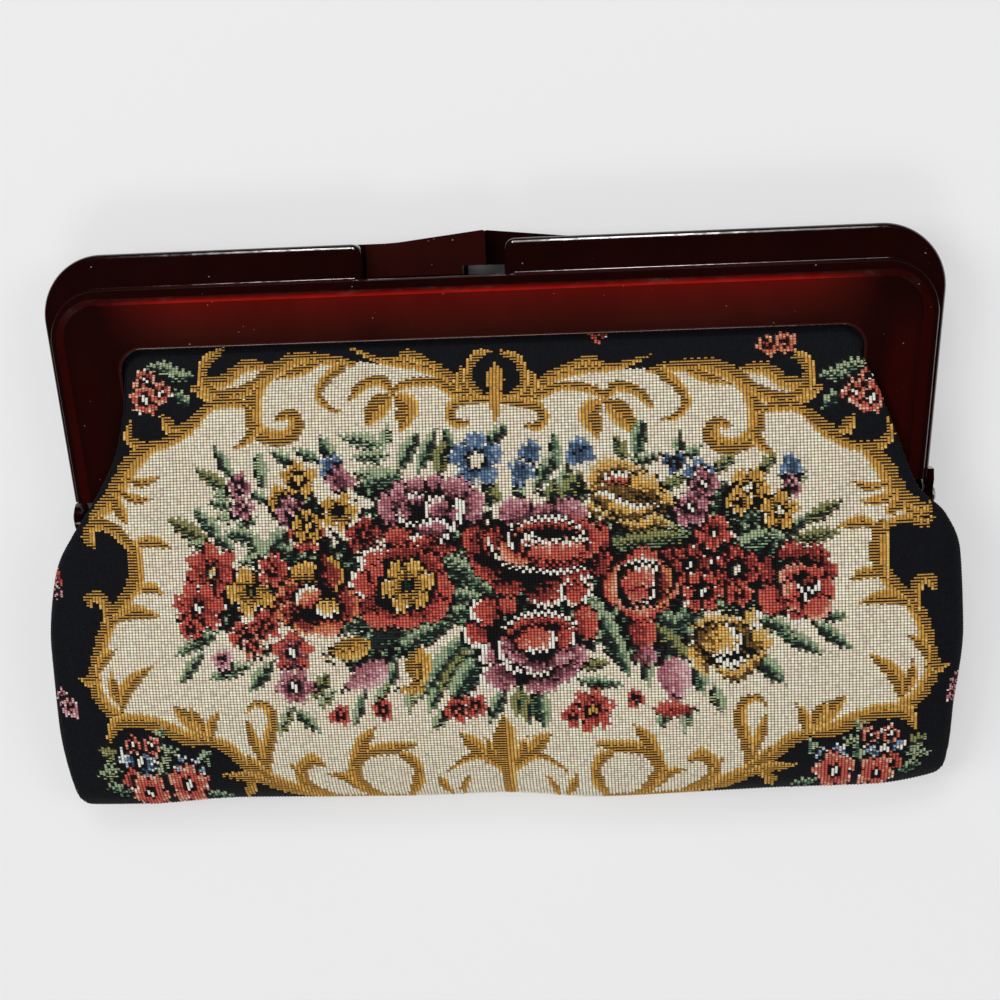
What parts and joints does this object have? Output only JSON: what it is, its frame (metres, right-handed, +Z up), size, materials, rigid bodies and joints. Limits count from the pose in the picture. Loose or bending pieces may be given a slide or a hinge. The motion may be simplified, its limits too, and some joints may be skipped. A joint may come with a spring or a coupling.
{
  "type": "clutch bag",
  "caption": "Soft tapestry clutch bag with a moulded plastic hinged mouth frame, a push clasp and two cloth panels, lying on its back.",
  "frame": {"origin": "middle of the footprint on the table, under the bag as it lies on its back", "axes": "+X across the bag to the right of the picture, +Y up the bag towards the frame's top edge, +Z up from the table towards the front panel"},
  "size_m": [0.2958, 0.1872, 0.035],
  "materials": {
    "frame_plastic": "polished, dark oxblood red, a little light shows through thin edges",
    "pin_metal": "plain",
    "tapestry": "woven, matt"
  },
  "bodies": {
    "root": {"frame_front": "frame_plastic", "frame_rear": "frame_plastic", "hinge_pin_left": "pin_metal", "hinge_pin_right": "pin_metal", "bag_front": "tapestry", "bag_back": "tapestry"}
  },
  "joints": []
}
